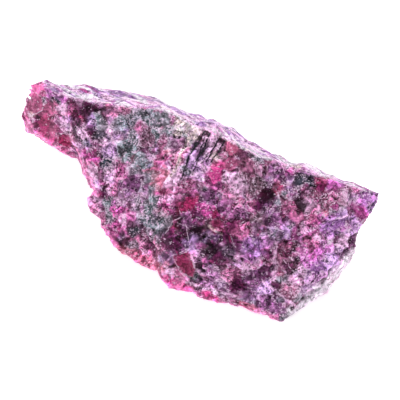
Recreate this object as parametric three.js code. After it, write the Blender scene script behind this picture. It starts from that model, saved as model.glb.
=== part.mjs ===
// A hand-sized piece of rough eudialyte rock, 86 mm long: one solid, broken on all sides.
// Millimetres, +Z up. The stone lies on its flattest side, in the plane Z = 0, and its length runs along X.
// A sloping broad face looks to the front (-Y) and up. Behind it the roof falls away to the back wall.
// The origin is on the table under the middle of the ridge.
import * as THREE from 'three';

// ---- Driving dimensions ----

const triangleEdge = 2.7; // longest edge left after the faces are divided
const evenRounds = 6; // rounds of making the triangles more even
const levelCosine = 0.97; // two faces count as one level face when their normals agree this well
const softRounds = 3; // rounds of averaging the directions in which the surface moves
const samePlace = 1e-6; // corners closer than this are one corner
const straightSlack = 0.01; // radians past a straight line before an edge is flipped
const codeStep = 1e6; // an edge is kept as one number: its first corner times this, plus its second

// Blocky grains that break the surface into small faces: their spacing, the step from one to the next,
// the slope of their own faces, and the width of the ledge between two of them.
const grainCoarse = { size: 8.5, step: 1.5, tilt: 0.24, ledge: 0.45, salt: 3329 };
const grainFine = { size: 4.6, step: 0.5, tilt: 0.16, ledge: 0.4, salt: 8151 };
const swell = { size: 17, height: 0.7, salt: 237 }; // slow rise and fall of a fracture face

const tableRelief = 0.25; // share of the relief left at the table
const fullReliefHeight = 7; // the relief grows from there to its full depth at about this height
const restHeight = 0.3; // the underside starts this close to the table
const restPatch = 7; // the underside is flat this far around the origin

// Corner rows of the stone, each from the left end (-X) to the right end.
const crestRow = [ // back edge of the roof
  [-41.6, -3, 20.3], [-36.1, 1.3, 17.1], [-28.9, 6, 15.3], [-20.3, 10.8, 14.4], [-14.4, 11.1, 13.7],
  [-8.5, 13.1, 13.2], [0.2, 14.3, 13.3], [6.6, 13.3, 13.2], [15.9, 11.9, 14.7], [28.2, 14.2, 17.6],
  [34.5, 14.4, 18.8], [41.7, 14.4, 19.3],
];
const ridgeRow = [ // where the roof meets the broad face
  [-40.2, -6, 21.4], [-35.8, -5.7, 22], [-28, -4.7, 23], [-19, -1.2, 24], [-11.1, 1.8, 25], [-5.5, 1.8, 25.5],
  [0.2, 1.8, 25.5], [5, 3, 25], [9.4, 2.9, 24.5], [15.1, 3.7, 24], [21.4, 6.1, 23], [30.5, 9.4, 21.5],
];
const bellyRow = [ // a low swelling across the middle of the broad face
  [-35.5, -8.6, 15.8], [-25, -9.4, 15.6], [-13, -8.6, 17.4], [-1, -9.8, 17.6], [10, -10.8, 15.6],
  [21, -9, 14.6],
];
const browRow = [ // below this line the broad face falls more steeply
  [-35, -10, 12.8], [-29, -10.6, 12.8], [-20.5, -13.6, 12], [-12.5, -15.4, 12.6], [-4, -17.4, 12.2],
  [4, -18.4, 12], [12, -18.2, 11.2], [20, -16.6, 10.2], [27, -13.6, 9],
];
const rimRow = [ // lower edge of the broad face
  [-39.2, -10.4, 9.8], [-34.6, -11, 10.2], [-30.4, -10.4, 10.4], [-25.6, -12, 9.6], [-18.6, -16, 8.6],
  [-13, -19.2, 8], [-7, -22.2, 7.2], [0.6, -23, 7], [8, -23.2, 6.6], [14, -23.2, 6], [22, -21.4, 5.2],
  [29, -20, 4.6],
];
const hemRow = [ // outermost line of the front, a bevel below the rim
  [-43.6, -10.8, 9], [-40, -9, 7], [-35, -11.2, 6.5], [-31.4, -8.8, 6.6], [-26.7, -11.6, 6],
  [-20.3, -14.8, 5.5], [-19.4, -18.8, 5], [-14.8, -20.8, 5], [-10.3, -23.1, 4.4], [-6.4, -25.2, 4],
  [-0.2, -26, 4], [3.3, -23.9, 4], [9.9, -26.5, 3.5], [13.9, -24.7, 3.5], [17.9, -25, 3.5],
  [22.6, -22.7, 3.5], [29.3, -20.8, 3.2], [35.5, -19, 3],
];
const frontFootRow = [ // where the front meets the table, under the hem
  [-39, -7, 0], [-30, -6.3, 0], [-20, -12, 0], [-13, -17, 0], [-5, -22, 0], [4, -22.4, 0],
  [14, -22.6, 0], [22, -20, 0], [28, -18.6, 0], [33.6, -16.8, 0],
];
const rightFootRow = [[36.4, -11, 0], [37.8, -3, 0]]; // goes on from the front foot, round the right end
const backFootRow = [
  [-37.5, -2.5, 0], [-28, 2.5, 0], [-18, 8, 0], [-8, 10.6, 0], [5, 11.4, 0], [17, 10.4, 0], [29, 12, 0],
  [36.4, 9.6, 0],
];
const waistRow = [ // half way up the back wall
  [-40.6, -1.6, 9], [-30, 5.4, 6.5], [-20, 10.6, 7.5], [-8, 14.4, 5.5], [4, 14.8, 7.5], [16, 13.6, 6],
  [28, 15.2, 8.5], [37.4, 12.8, 7.5],
];

// The left end is a blunt nose. Its outline runs from the crest down to the hem.
const noseOutline = [[-44.7, -5.8, 18.9], [-45.2, -7.7, 15.7], [-43.9, -9.2, 12]];
const noseEdge = [[-39.4, -8.7, 15.8]]; // between the nose and the broad face

// The right end has a sloping facet, then a narrow bevel, then the steep end wall.
const facetTop = [32.4, 0.6, 15.8];
const facetEdge = [[29.8, -4.5, 13.2], [32.6, -12.4, 8.2]]; // between the broad face and the facet
const bevelTop = [[36.6, -14, 5.8], [38.6, -8.4, 8], [39.6, -1.6, 11.4], [41.4, 5.8, 14.6]]; // hem to crest
const bevelFoot = [[37.9, -12.9, 2.2], [40.2, -5.1, 3.3], [41.6, 3, 7.9], [41, 7, 11.7]];

// Hollows and raised crystals: centre on the surface, radius, and how far the surface moves.
const pits = [
  { at: [19, 1, 19.4], radius: 3.6, depth: 1.5 },
  { at: [26.4, 1.2, 17.6], radius: 2.8, depth: 1.2 },
  { at: [13.5, -16, 11.6], radius: 4.2, depth: 1.4 },
  { at: [6.5, -14, 14], radius: 3.4, depth: 1.2 },
  { at: [-9, -15.5, 12.6], radius: 3, depth: 1.1 },
  { at: [26, -14.6, 8.6], radius: 3.2, depth: 1.1 },
  { at: [-4, 14.5, 13.5], radius: 3.8, depth: 1.2 },
  { at: [24, 14, 17.5], radius: 3.8, depth: 1.2 },
  { at: [-12.5, 12.5, 12.5], radius: 3.8, depth: 0.9 },
  { at: [19.5, 12.5, 16], radius: 4, depth: 0.6 },
];
const knobs = [
  { at: [4.5, -19.4, 9.6], radius: 4, height: 1.3 },
  { at: [8.5, -1, 22.4], radius: 4.6, height: 0.9 },
  { at: [-22, -7, 18.6], radius: 4, height: 0.9 },
  { at: [-1, -5, 20.8], radius: 3.6, height: 0.8 },
  { at: [33.5, -6.6, 10.6], radius: 3.6, height: 0.8 },
  { at: [-43, -10, 8.5], radius: 3.8, height: 0.5 },
  { at: [-17, 11, 14], radius: 3.4, height: 0.4 },
  { at: [-6.5, 13, 13.2], radius: 3, height: 0.5 },
  { at: [-11, -22, 4], radius: 3.4, height: 0.6 },
  { at: [-2.5, -24, 2.5], radius: 4.5, height: 1 },
  { at: [11.5, -24.5, 2], radius: 3.8, height: 0.7 },
  { at: [24.5, -20.5, 2], radius: 3.8, height: 0.7 },
  { at: [31, -19.5, 2], radius: 4, height: 1 },
  { at: [36, -17, 1.5], radius: 3.8, height: 0.7 },
  { at: [38.5, -8.5, 2], radius: 3.8, height: 0.8 },
];

// ---- Repeatable random numbers ----

// One number from 0 to 1 for a whole-number place in space.
function hash(x, y, z, salt) {
  let bits = Math.imul(x, 374761393) ^ Math.imul(y, 668265263);
  bits ^= Math.imul(z, 1442695041) ^ Math.imul(salt, 974634777);
  bits = Math.imul(bits ^ (bits >>> 13), 1274126177);
  bits = Math.imul(bits ^ (bits >>> 15), 2246822519);
  return ((bits ^ (bits >>> 16)) >>> 0) / 2 ** 32;
}

// Smooth noise from -1 to 1.
function noise(p, size, salt) {
  const at = p.clone().divideScalar(size);
  const low = at.clone().floor();
  const t = at.clone().sub(low);
  const ease = (k) => k * k * (3 - 2 * k);
  let sum = 0;
  for (let corner = 0; corner < 8; corner++) {
    const [i, j, k] = [corner & 1, (corner >> 1) & 1, corner >> 2];
    const weightX = i ? ease(t.x) : 1 - ease(t.x);
    const weightY = j ? ease(t.y) : 1 - ease(t.y);
    const weightZ = k ? ease(t.z) : 1 - ease(t.z);
    sum += weightX * weightY * weightZ * hash(low.x + i, low.y + j, low.z + k, salt);
  }
  return 2 * sum - 1;
}

// The grains around point p, each with its distance and with the height of its own face at p.
function grainsNear(p, { size, step, tilt, salt }) {
  const cell = p.clone().divideScalar(size).floor();
  const grains = [];
  for (let place = 0; place < 27; place++) {
    const x = cell.x + (place % 3) - 1;
    const y = cell.y + (Math.floor(place / 3) % 3) - 1;
    const z = cell.z + Math.floor(place / 9) - 1;
    const random = (n) => hash(x, y, z, salt + n);
    const seed = new THREE.Vector3(x + random(0), y + random(1), z + random(2)).multiplyScalar(size);
    const lean = new THREE.Vector3(random(3), random(4), random(5)).subScalar(0.5).normalize();
    const height = step * (random(6) - 0.5) + tilt * lean.dot(p.clone().sub(seed));
    grains.push({ distance: seed.distanceTo(p), height });
  }
  return grains;
}

// The surface follows the face of the nearest grain, and changes to the next one over a narrow ledge.
function grainLift(p, look) {
  const grains = grainsNear(p, look);
  const nearest = Math.min(...grains.map((grain) => grain.distance));
  let [sum, total] = [0, 0];
  for (const { distance, height } of grains) {
    const weight = Math.exp((nearest - distance) / look.ledge);
    sum += weight * height;
    total += weight;
  }
  return sum / total;
}

// ---- The stone as a closed cage of flat faces ----

const corners = [];
const cage = []; // triangles, as three places in corners

function cornerAt(point) {
  const known = corners.findIndex((c) => c.distanceTo(point) < samePlace);
  return known >= 0 ? known : corners.push(point.clone()) - 1;
}

function triangle(a, b, c) {
  const [i, j, k] = [a, b, c].map(cornerAt);
  if (i !== j && j !== k && k !== i) cage.push([i, j, k]);
}

// A band of triangles between two rows. Seen from outside with the rows running right, upper is above lower.
// Each next triangle is the one with the shorter new edge.
function band(upper, lower) {
  let [i, j] = [0, 0];
  while (i < upper.length - 1 || j < lower.length - 1) {
    const upperEdge = i < upper.length - 1 ? upper[i + 1].distanceTo(lower[j]) : Infinity;
    const lowerEdge = j < lower.length - 1 ? lower[j + 1].distanceTo(upper[i]) : Infinity;
    if (upperEdge < lowerEdge) triangle(upper[i], lower[j], upper[++i]);
    else triangle(upper[i], lower[j], lower[++j]);
  }
}

// Fills a loop of points, counter-clockwise from outside, around its middle.
function fan(loop) {
  const middle = loop.reduce((sum, p) => sum.add(p), new THREE.Vector3()).divideScalar(loop.length);
  loop.forEach((p, i) => triangle(p, loop[(i + 1) % loop.length], middle));
}

function makeCage() {
  const toPoints = (row) => row.map((point) => new THREE.Vector3(...point));
  const [crest, ridge, belly, brow] = [crestRow, ridgeRow, bellyRow, browRow].map(toPoints);
  const [rim, hem, frontFoot, rightFoot] = [rimRow, hemRow, frontFootRow, rightFootRow].map(toPoints);
  const [backFoot, waist] = [backFootRow, waistRow].map(toPoints);
  const [nose, noseInner, top, facet] = [noseOutline, noseEdge, [facetTop], facetEdge].map(toPoints);
  const [bevelHigh, bevelLow] = [bevelTop, bevelFoot].map(toPoints);
  const first = (row) => row[0];
  const last = (row) => row[row.length - 1];

  const middle = [...noseInner, ...belly, first(facet)];
  const lower = [first(rim), ...brow, last(facet)];
  band(crest, [first(crest), ...ridge, last(crest)]); // roof
  band(ridge, [...middle, ...top]); // broad face
  band(middle, lower);
  band([...lower, last(hem)], [...rim, last(hem)]);
  band([...rim, last(hem)], hem); // bevel under the rim
  band(hem, frontFoot); // undercut front
  band([...frontFoot, ...rightFoot], backFoot); // underside
  band(backFoot, waist); // back wall
  band(waist, crest);

  // Left end: the nose, and the end wall under it.
  const outline = [first(hem), ...nose.slice().reverse(), first(crest)];
  band(outline, [first(rim), ...noseInner, first(ridge), first(crest)]);
  fan([first(crest), first(waist), first(backFoot), first(frontFoot), ...outline.slice(0, -1)]);

  // Right end: facet, bevel and end wall.
  fan([last(ridge), ...top, ...facet, last(hem), ...bevelHigh, last(crest)]);
  band([last(hem), ...bevelHigh, last(crest)], [last(hem), ...bevelLow, last(crest)]);
  band([last(hem), ...bevelLow, last(crest)], [last(frontFoot), ...rightFoot, last(backFoot), last(waist)]);
}

// Halves every edge over the limit until none is left. Both triangles of an edge are cut at the same point.
function divide(points, triangles, limit) {
  for (;;) {
    const middles = new Map();
    const middle = (a, b) => {
      const key = Math.min(a, b) * codeStep + Math.max(a, b);
      if (!middles.has(key)) {
        const long = points[a].distanceTo(points[b]) > limit;
        middles.set(key, long ? points.push(points[a].clone().lerp(points[b], 0.5)) - 1 : -1);
      }
      return middles.get(key);
    };
    const next = triangles.flatMap(([a, b, c]) => {
      const cuts = [middle(a, b), middle(b, c), middle(c, a)];
      const count = cuts.filter((m) => m >= 0).length;
      if (count === 0) return [[a, b, c]];
      const onlyCut = cuts.findIndex((m) => m >= 0);
      const afterUncut = (cuts.findIndex((m) => m < 0) + 1) % 3;
      const turn = count === 1 ? onlyCut : afterUncut;
      const [p, q, r] = [[a, b, c], [b, c, a], [c, a, b]][turn];
      const [pq, qr, rp] = [cuts[turn], cuts[(turn + 1) % 3], cuts[(turn + 2) % 3]];
      if (count === 1) return [[p, pq, r], [pq, q, r]];
      if (count === 2) return [[pq, q, qr], [p, pq, r], [pq, qr, r]];
      return [[p, pq, rp], [pq, q, qr], [rp, qr, r], [pq, qr, rp]];
    });
    if (next.length === triangles.length) return triangles;
    triangles = next;
  }
}

function faceNormal(points, [a, b, c]) {
  return points[b].clone().sub(points[a]).cross(points[c].clone().sub(points[a]));
}

// Gives the shared edge of two level triangles to their other two corners where those lie closer together.
function flipLongEdges(points, triangles) {
  const edges = new Map(); // each edge a-b, walked one way, with its triangle and the corner across from it
  const key = (a, b) => a * codeStep + b;
  triangles.forEach(([a, b, c], at) => {
    edges.set(key(a, b), { at, across: c });
    edges.set(key(b, c), { at, across: a });
    edges.set(key(c, a), { at, across: b });
  });
  const touched = new Set();
  const side = ([a, b, c]) => faceNormal(points, [a, b, c]).normalize();
  for (const [code, one] of [...edges]) {
    const [a, b] = [Math.floor(code / codeStep), code % codeStep];
    const other = edges.get(key(b, a));
    if (a > b || touched.has(one.at) || touched.has(other.at)) continue;
    const [c, d] = [one.across, other.across];
    const ray = (from, to) => points[to].clone().sub(points[from]);
    const across = ray(c, a).angleTo(ray(c, b)) + ray(d, a).angleTo(ray(d, b));
    if (across < Math.PI + straightSlack || edges.has(key(c, d)) || edges.has(key(d, c))) continue;
    const flipped = [[a, d, c], [d, b, c]];
    const level = side([a, b, c]).dot(side([b, a, d])) > levelCosine;
    if (!level || side(flipped[0]).dot(side(flipped[1])) < levelCosine) continue;
    triangles[one.at] = flipped[0];
    triangles[other.at] = flipped[1];
    edges.set(key(c, d), one);
    touched.add(one.at).add(other.at);
  }
}

// Draws each corner that lies inside a level face towards the middle of its neighbours.
function evenSpacing(points, triangles) {
  const around = points.map(() => ({ faces: [], sum: new THREE.Vector3() }));
  for (const corner of triangles) {
    const normal = faceNormal(points, corner).normalize();
    corner.forEach((i, n) => {
      around[i].faces.push(normal);
      around[i].sum.add(points[corner[(n + 1) % 3]]);
    });
  }
  points.forEach((p, i) => {
    const { faces, sum } = around[i];
    if (faces.every((n) => n.dot(faces[0]) > levelCosine)) p.lerp(sum.divideScalar(faces.length), 0.5);
  });
}

// The way out of the stone at each corner, turning softly across the creases.
function vertexNormals(points, triangles) {
  const normals = points.map(() => new THREE.Vector3());
  for (const corner of triangles) {
    for (const i of corner) normals[i].add(faceNormal(points, corner));
  }
  for (let round = 0; round < softRounds; round++) {
    normals.forEach((n) => n.normalize());
    const before = normals.map((n) => n.clone());
    for (const [a, b, c] of triangles) {
      for (const [i, j] of [[a, b], [b, c], [c, a]]) normals[i].add(before[j]);
    }
  }
  return normals.map((n) => n.normalize());
}

// How far the broken surface stands out from the cage at p.
function relief(p) {
  let lift = swell.height * noise(p, swell.size, swell.salt);
  lift += grainLift(p, grainCoarse) + grainLift(p, grainFine);
  const dome = (spot) => Math.max(0, 1 - new THREE.Vector3(...spot.at).distanceTo(p) / spot.radius);
  for (const pit of pits) lift -= pit.depth * Math.sqrt(dome(pit));
  for (const knob of knobs) lift += knob.height * Math.sqrt(dome(knob));
  return lift;
}

// The relief fades towards the table, where the front and the walls turn under.
function wallRelief(p) {
  return relief(p) * Math.min(1, tableRelief + p.z / fullReliefHeight);
}

// The underside lies on the table in flat patches, with shallow hollows between them.
function undersideHeight(p) {
  return p.length() < restPatch ? 0 : Math.max(0, relief(p));
}

// ---- The part ----

makeCage();
const triangles = divide(corners, cage, triangleEdge);
for (let round = 0; round < evenRounds; round++) {
  flipLongEdges(corners, triangles);
  evenSpacing(corners, triangles);
}
const normals = vertexNormals(corners, triangles);
const surface = corners.map((p, i) => {
  const moved = p.clone().addScaledVector(normals[i], wallRelief(p));
  moved.z = p.z < restHeight ? undersideHeight(p) : Math.max(moved.z, 0);
  return moved;
});

const geometry = new THREE.BufferGeometry().setFromPoints(surface).setIndex(triangles.flat());
geometry.computeVertexNormals();

const rockMaterial = new THREE.MeshStandardMaterial({
  color: 0x9c6a92,
  roughness: 0.55,
  metalness: 0,
  flatShading: true,
});
const stone = new THREE.Mesh(geometry, rockMaterial);
stone.name = 'stone';

const part = new THREE.Group();
part.add(stone);

export default part;
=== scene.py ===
import itertools
import math

import bpy
import numpy as np
from mathutils import Matrix, Vector
from mathutils.bvhtree import BVHTree


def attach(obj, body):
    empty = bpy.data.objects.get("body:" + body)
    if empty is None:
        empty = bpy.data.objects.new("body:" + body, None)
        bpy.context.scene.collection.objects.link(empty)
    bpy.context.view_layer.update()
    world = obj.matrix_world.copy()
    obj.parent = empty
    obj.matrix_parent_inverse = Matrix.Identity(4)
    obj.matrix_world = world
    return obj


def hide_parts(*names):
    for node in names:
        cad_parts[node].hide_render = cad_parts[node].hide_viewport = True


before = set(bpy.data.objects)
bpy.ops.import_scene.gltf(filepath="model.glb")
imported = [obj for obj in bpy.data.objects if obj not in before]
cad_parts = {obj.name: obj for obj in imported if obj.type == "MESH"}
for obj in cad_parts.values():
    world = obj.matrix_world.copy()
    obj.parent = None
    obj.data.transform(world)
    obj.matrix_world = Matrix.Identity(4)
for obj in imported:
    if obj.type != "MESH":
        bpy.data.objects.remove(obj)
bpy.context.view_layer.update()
mm = 0.001

# Spots on the stone are given in mm right of and above the origin, as seen from this side.
lookFrom = {"azimuth": 34, "elevation": 55}
lookTurn, lookTilt = (math.radians(lookFrom[name]) for name in ("azimuth", "elevation"))
lookRight = np.array([math.cos(lookTurn), math.sin(lookTurn), 0])
lookBack = np.array([
    math.sin(lookTurn) * math.cos(lookTilt),
    -math.cos(lookTurn) * math.cos(lookTilt),
    math.sin(lookTilt),
])
lookUp = np.cross(lookBack, lookRight)


# Repeatable random numbers

def cellRandom(cells, salt):
    # one number from 0 to 1 for each whole-number place
    bits = cells[:, 0] * 374761393 ^ cells[:, 1] * 668265263 ^ cells[:, 2] * 1442695041
    bits = (bits ^ (salt * 974634777)) & 0xFFFFFFFF
    bits = ((bits ^ (bits >> 13)) * 1274126177) & 0xFFFFFFFF
    bits = ((bits ^ (bits >> 15)) * 2246822519) & 0xFFFFFFFF
    return (bits ^ (bits >> 16)) / 2**32


def cloud(points, size, salt):
    # smooth noise from -1 to 1
    at = points / size
    low = np.floor(at).astype(np.int64)
    ease = at - low
    ease = ease * ease * (3 - 2 * ease)
    total = np.zeros(len(points))
    for corner in itertools.product((0, 1), repeat=3):
        weight = np.prod(np.where(corner, ease, 1 - ease), axis=1)
        total += weight * cellRandom(low + corner, salt)
    return 2 * total - 1


def smoothStep(low, high, value):
    share = np.clip((value - low) / (high - low), 0, 1)
    return share * share * (3 - 2 * share)


def unit(vectors):
    return vectors / np.linalg.norm(vectors, axis=-1, keepdims=True)


def toLinear(color):
    color = np.asarray(color, float)
    return np.where(color <= 0.04045, color / 12.92, ((color + 0.055) / 1.055) ** 2.4)


def grainsAt(points, size, salt):
    # the grain that holds each point, and how the broken faces of the grains around it lie there
    home = np.floor(points / size).astype(np.int64)
    distance, height, cells = [], [], []
    for offset in itertools.product((-1, 0, 1), repeat=3):
        cell = home + offset
        random = [cellRandom(cell, salt + n) for n in range(7)]
        seed = (cell + np.stack(random[:3], 1)) * size
        lean = unit(np.stack(random[3:6], 1) - 0.5)
        away = points - seed
        distance.append(np.linalg.norm(away, axis=1))
        height.append(np.stack([2 * random[6] - 1, (lean * away).sum(1)]))
        cells.append(cell)
    distance, height, cells = np.array(distance), np.array(height), np.array(cells)
    order = np.argsort(distance, axis=0)
    each = np.arange(len(points))
    cell = cells[order[0], each]
    return {
        "cell": cell,
        "seed": (cell + np.stack([cellRandom(cell, salt + n) for n in range(3)], 1)) * size,
        "near": distance[order[0], each],
        "gap": distance[order[1], each] - distance[order[0], each],  # 0 where two grains meet
        "distance": distance,
        "height": height,
        "salt": salt,
    }


def brokenFace(grains, step, tilt, ledge):
    # each grain has its own step and tilt, and changes to the next over a narrow ledge
    weight = np.exp((grains["near"] - grains["distance"]) / ledge)
    height = step * grains["height"][:, 0] + tilt * grains["height"][:, 1]
    return (weight * height).sum(0) / weight.sum(0)


# The minerals of the rock: colour (sRGB), how rough, how much pale frost and painted glint lies on it, how
# strongly its spots vary, and how sandy it is

minerals = {
    "rose": {"color": (0.66, 0.34, 0.51), "rough": 0.34, "frostAndGlint": 0.34, "dust": 1.0, "fine": 0.3},
    "clearRose": {"color": (0.60, 0.30, 0.44), "rough": 0.30, "frostAndGlint": 0.12, "dust": 0.35, "fine": 0.3},
    "magenta": {"color": (0.66, 0.26, 0.53), "rough": 0.32, "frostAndGlint": 0.30, "dust": 0.8, "fine": 0.2},
    "orchidPink": {"color": (0.72, 0.4, 0.68), "rough": 0.34, "frostAndGlint": 0.42, "dust": 0.6, "fine": 0.3},
    "hotPink": {"color": (0.84, 0.28, 0.56), "rough": 0.36, "frostAndGlint": 0.22, "dust": 0.3, "fine": 0.2},
    "pink": {"color": (0.9, 0.52, 0.72), "rough": 0.40, "frostAndGlint": 0.36, "dust": 0.3, "fine": 0.3},
    "crimson": {"color": (0.54, 0.12, 0.3), "rough": 0.28, "frostAndGlint": 0.08, "dust": 0.7, "fine": 0.2},
    "salmon": {"color": (0.76, 0.38, 0.50), "rough": 0.34, "frostAndGlint": 0.32, "dust": 0.4, "fine": 0.3},
    "brownRose": {"color": (0.52, 0.31, 0.42), "rough": 0.40, "frostAndGlint": 0.36, "dust": 0.9, "fine": 0.6},
    "violet": {"color": (0.51, 0.31, 0.49), "rough": 0.38, "frostAndGlint": 0.32, "dust": 0.9, "fine": 0.3},
    "amethyst": {"color": (0.53, 0.34, 0.58), "rough": 0.38, "frostAndGlint": 0.34, "dust": 0.8, "fine": 0.2},
    "lilac": {"color": (0.64, 0.49, 0.7), "rough": 0.42, "frostAndGlint": 0.50, "dust": 0.8, "fine": 0.4},
    "plum": {"color": (0.29, 0.075, 0.23), "rough": 0.26, "frostAndGlint": 0.00, "dust": 0.75, "fine": 0.3},
    "ink": {"color": (0.11, 0.015, 0.085), "rough": 0.20, "frostAndGlint": -0.05, "dust": 0.8, "fine": 0.4},
    "greyGreen": {"color": (0.42, 0.46, 0.49), "rough": 0.48, "frostAndGlint": 0.42, "dust": 0.7, "fine": 1.0},
    "darkGreen": {"color": (0.18, 0.22, 0.26), "rough": 0.36, "frostAndGlint": 0.16, "dust": 0.9, "fine": 1.0},
    "greyBrown": {"color": (0.36, 0.27, 0.32), "rough": 0.48, "frostAndGlint": 0.24, "dust": 0.8, "fine": 1.0},
    "cream": {"color": (0.86, 0.78, 0.76), "rough": 0.52, "frostAndGlint": 0.60, "dust": 0.9, "fine": 0.8},
    "pale": {"color": (0.83, 0.64, 0.79), "rough": 0.46, "frostAndGlint": 0.75, "dust": 0.8, "fine": 0.3},
    "greyWhite": {"color": (0.84, 0.80, 0.85), "rough": 0.55, "frostAndGlint": 0.75, "dust": 0.45, "fine": 0.8},
}
mineralNames = list(minerals)
mixes = {
    "common": {"rose": 4, "magenta": 3, "violet": 3, "plum": 3, "pale": 3, "greyBrown": 2, "crimson": 1},
    "green": {"greyGreen": 12, "darkGreen": 2, "violet": 1, "brownRose": 1},
    "slate": {"greyGreen": 6, "lilac": 2, "darkGreen": 2},
    "heather": {"greyGreen": 5, "brownRose": 2, "darkGreen": 2, "plum": 1},
    "creamy": {"cream": 5, "pale": 2, "greyGreen": 4},
    "creamRose": {"cream": 2, "rose": 3, "pale": 3},
    "dark": {"plum": 8, "ink": 4, "violet": 2, "crimson": 2},
    "soot": {"darkGreen": 2, "plum": 2, "ink": 1},
    "dusk": {"plum": 5, "ink": 1, "violet": 6, "lilac": 2, "pale": 1},
    "dusty": {"violet": 4, "plum": 3, "lilac": 3, "greyGreen": 2, "pale": 1},
    "brindle": {"plum": 4, "brownRose": 4, "pale": 2, "ink": 1},
    "bordeaux": {"plum": 5, "crimson": 3, "violet": 2, "rose": 2},
    "rosy": {"rose": 7, "salmon": 2, "magenta": 2, "pale": 1, "crimson": 1},
    "garnet": {"plum": 6, "ink": 3, "crimson": 3},
    "moss": {"darkGreen": 4, "plum": 3, "violet": 1},
    "ash": {"greyWhite": 4, "lilac": 4, "violet": 2},
    "needleGround": {"lilac": 5, "pale": 3, "violet": 2, "darkGreen": 1},
    "wine": {"crimson": 7, "plum": 4, "rose": 2, "magenta": 1},
    "bright": {"magenta": 7, "hotPink": 3, "pale": 1},
    "candy": {"pink": 3, "pale": 3, "rose": 3, "magenta": 1},
    "blossom": {"pink": 6, "pale": 3, "hotPink": 2},
    "orchid": {"magenta": 3, "lilac": 4, "pale": 2, "amethyst": 1},
    "lilacs": {"lilac": 5, "pale": 2, "violet": 1},
    "violets": {"amethyst": 4, "lilac": 2, "orchidPink": 1},
    "mauve": {"rose": 3, "lilac": 3, "violet": 2, "pale": 2, "brownRose": 1},
    "soft": {"pale": 7, "lilac": 2, "rose": 2},
    "darkFibres": {"greyBrown": 6, "plum": 3, "brownRose": 2},
    "roof": {"pale": 6, "greyWhite": 6, "lilac": 8, "amethyst": 5, "magenta": 2},
    "bruisedAndHighlit": {"pale": 5, "cream": 1, "greyWhite": 6, "lilac": 2, "orchidPink": 1},
}
for name in mineralNames:
    mixes[name] = {name: 1}

# What the sides that have no placed patches are made of, in large clouds
farMixes = ("green", "rosy", "dark", "orchid", "soft")

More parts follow.
